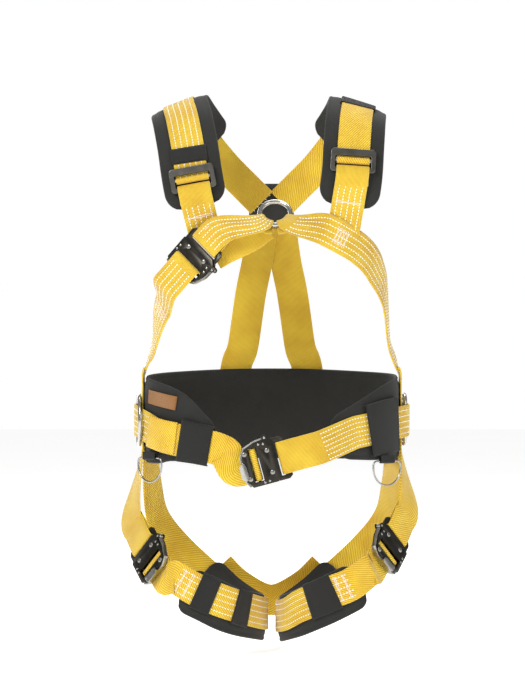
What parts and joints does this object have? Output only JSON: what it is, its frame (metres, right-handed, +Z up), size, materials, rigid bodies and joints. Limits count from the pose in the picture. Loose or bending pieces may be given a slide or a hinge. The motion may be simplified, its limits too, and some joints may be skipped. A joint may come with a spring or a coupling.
{
  "type": "full body safety harness",
  "caption": "Padded full body work harness with waist belt, webbing straps, quick release buckles, strap slides and steel attachment rings.",
  "frame": {"origin": "centre of the eye of the dorsal D-ring at rest, between the shoulder blades", "axes": "+Z up as worn, -Y towards the wearer's front, +X towards the wearer's left"},
  "size_m": [0.4115, 0.26, 0.7572],
  "materials": {
    "webbing": "yellow polyester webbing with white reflective threads",
    "black_fabric": "matte black padded fabric",
    "label": "plain orange woven label",
    "black_steel": "satin black coated steel",
    "lever_steel": "bright stamped steel",
    "rivet_steel": "domed grey steel",
    "slide_steel": "dark gunmetal plated steel",
    "plate": "matte black moulded plate",
    "ring_steel": "forged and polished steel"
  },
  "bodies": {
    "harness": {"adjuster_bars": "slide_steel", "adjuster_frame_left": "slide_steel", "adjuster_frame_right": "slide_steel", "back_straps": "webbing", "buckle_rivets": "rivet_steel", "chest_buckle_cover": "black_steel", "chest_buckle_frame": "black_steel", "dorsal_plate": "plate", "front_strap_left": "webbing", "front_strap_right": "webbing", "hip_strap_left": "webbing", "hip_strap_right": "webbing", "leg_keepers_left": "black_fabric", "leg_keepers_right": "black_fabric", "leg_left_buckle_cover": "black_steel", "leg_left_buckle_frame": "black_steel", "leg_pad_left": "black_fabric", "leg_pad_right": "black_fabric", "leg_right_buckle_cover": "black_steel", "leg_right_buckle_frame": "black_steel", "leg_strap_left": "webbing", "leg_strap_right": "webbing", "pad_label": "label", "shoulder_keeper_left": "black_fabric", "shoulder_keeper_right": "black_fabric", "shoulder_pad_left": "black_fabric", "shoulder_pad_right": "black_fabric", "shoulder_strap_left": "webbing", "shoulder_strap_right": "webbing", "side_strap_left": "webbing", "side_strap_right": "webbing", "sternal_strap_right": "webbing", "sub_pelvic_strap": "webbing", "tool_ring_loops": "black_fabric", "waist_belt_webbing": "webbing", "waist_buckle_cover": "black_steel", "waist_buckle_frame": "black_steel", "waist_pad": "black_fabric", "waist_sleeve_left": "black_fabric", "waist_sleeve_right": "black_fabric", "waist_strap_left": "webbing", "waist_strap_right": "webbing"},
    "chest_tongue": {"chest_buckle_tongue": "black_steel", "chest_tongue_loop": "webbing"},
    "chest_lever": {"chest_buckle_lever": "lever_steel"},
    "waist_tongue": {"waist_buckle_tongue": "black_steel", "waist_tongue_loop": "webbing"},
    "waist_lever": {"waist_buckle_lever": "lever_steel"},
    "leg_right_tongue": {"leg_right_buckle_tongue": "black_steel", "leg_tongue_loop_right": "webbing"},
    "leg_right_lever": {"leg_right_buckle_lever": "lever_steel"},
    "leg_left_tongue": {"leg_left_buckle_tongue": "black_steel", "leg_tongue_loop_left": "webbing"},
    "leg_left_lever": {"leg_left_buckle_lever": "lever_steel"},
    "dorsal_ring": {"dorsal_d_ring": "ring_steel"},
    "sternal_ring": {"sternal_ring": "ring_steel"},
    "side_ring_right": {"side_d_ring_right": "ring_steel"},
    "tool_ring_right": {"tool_ring_right": "ring_steel"},
    "side_ring_left": {"side_d_ring_left": "ring_steel"},
    "tool_ring_left": {"tool_ring_left": "ring_steel"}
  },
  "joints": [
    {"name": "chest_tongue_slide", "type": "slide", "parent": "harness", "child": "chest_tongue", "axis": [0.6462, -0.2273, 0.7285], "range_m": [0, 0.011]},
    {"name": "chest_lever_hinge", "type": "hinge", "parent": "harness", "child": "chest_lever", "pos_m": [-0.07862, -0.23522, -0.08943], "axis": [-0.3813, -0.9231, 0.0502], "range_deg": [0, 16], "stiffness_Nm_per_rad": 0.06, "springref_deg": -6.88},
    {"name": "waist_tongue_slide", "type": "slide", "parent": "harness", "child": "waist_tongue", "axis": [0.9653, -0.0321, 0.2591], "range_m": [0, 0.018]},
    {"name": "waist_lever_hinge", "type": "hinge", "parent": "harness", "child": "waist_lever", "pos_m": [-0.01083, -0.23505, -0.31272], "axis": [0.0332, 0.9994, 0], "range_deg": [0, 16], "stiffness_Nm_per_rad": 0.06, "springref_deg": -6.88},
    {"name": "leg_right_tongue_slide", "type": "slide", "parent": "harness", "child": "leg_right_tongue", "axis": [-0.3892, 0.653, 0.6497], "range_m": [0, 0.015]},
    {"name": "leg_right_lever_hinge", "type": "hinge", "parent": "harness", "child": "leg_right_lever", "pos_m": [-0.15116, -0.19343, -0.44739], "axis": [-0.741, -0.6409, 0.2003], "range_deg": [0, 16], "stiffness_Nm_per_rad": 0.06, "springref_deg": -6.88},
    {"name": "leg_left_tongue_slide", "type": "slide", "parent": "harness", "child": "leg_left_tongue", "axis": [0.3892, 0.653, 0.6497], "range_m": [0, 0.015]},
    {"name": "leg_left_lever_hinge", "type": "hinge", "parent": "harness", "child": "leg_left_lever", "pos_m": [0.14516, -0.19343, -0.43339], "axis": [-0.741, 0.6409, -0.2003], "range_deg": [0, 16], "stiffness_Nm_per_rad": 0.06, "springref_deg": -6.88},
    {"name": "dorsal_ring_hinge", "type": "hinge", "parent": "harness", "child": "dorsal_ring", "pos_m": [0, 0, 0.02], "axis": [1, 0, 0], "range_deg": [-3, 150]},
    {"name": "sternal_ring_spin", "type": "hinge", "parent": "harness", "child": "sternal_ring", "pos_m": [0.004, -0.2385, -0.0135], "axis": [0, -0.788, 0.6157], "continuous": true},
    {"name": "side_ring_right_hinge", "type": "hinge", "parent": "harness", "child": "side_ring_right", "pos_m": [-0.18422, -0.1215, -0.292], "axis": [0, 0, -1], "range_deg": [0, 60]},
    {"name": "tool_ring_right_hinge", "type": "hinge", "parent": "harness", "child": "tool_ring_right", "pos_m": [-0.16566, -0.1803, -0.342], "axis": [-0.7183, 0.6957, 0], "range_deg": [-4, 75]},
    {"name": "side_ring_left_hinge", "type": "hinge", "parent": "harness", "child": "side_ring_left", "pos_m": [0.18422, -0.1215, -0.292], "axis": [0, 0, -1], "range_deg": [0, 60]},
    {"name": "tool_ring_left_hinge", "type": "hinge", "parent": "harness", "child": "tool_ring_left", "pos_m": [0.15556, -0.19209, -0.346], "axis": [-0.8224, -0.569, 0], "range_deg": [-4, 75]}
  ]
}
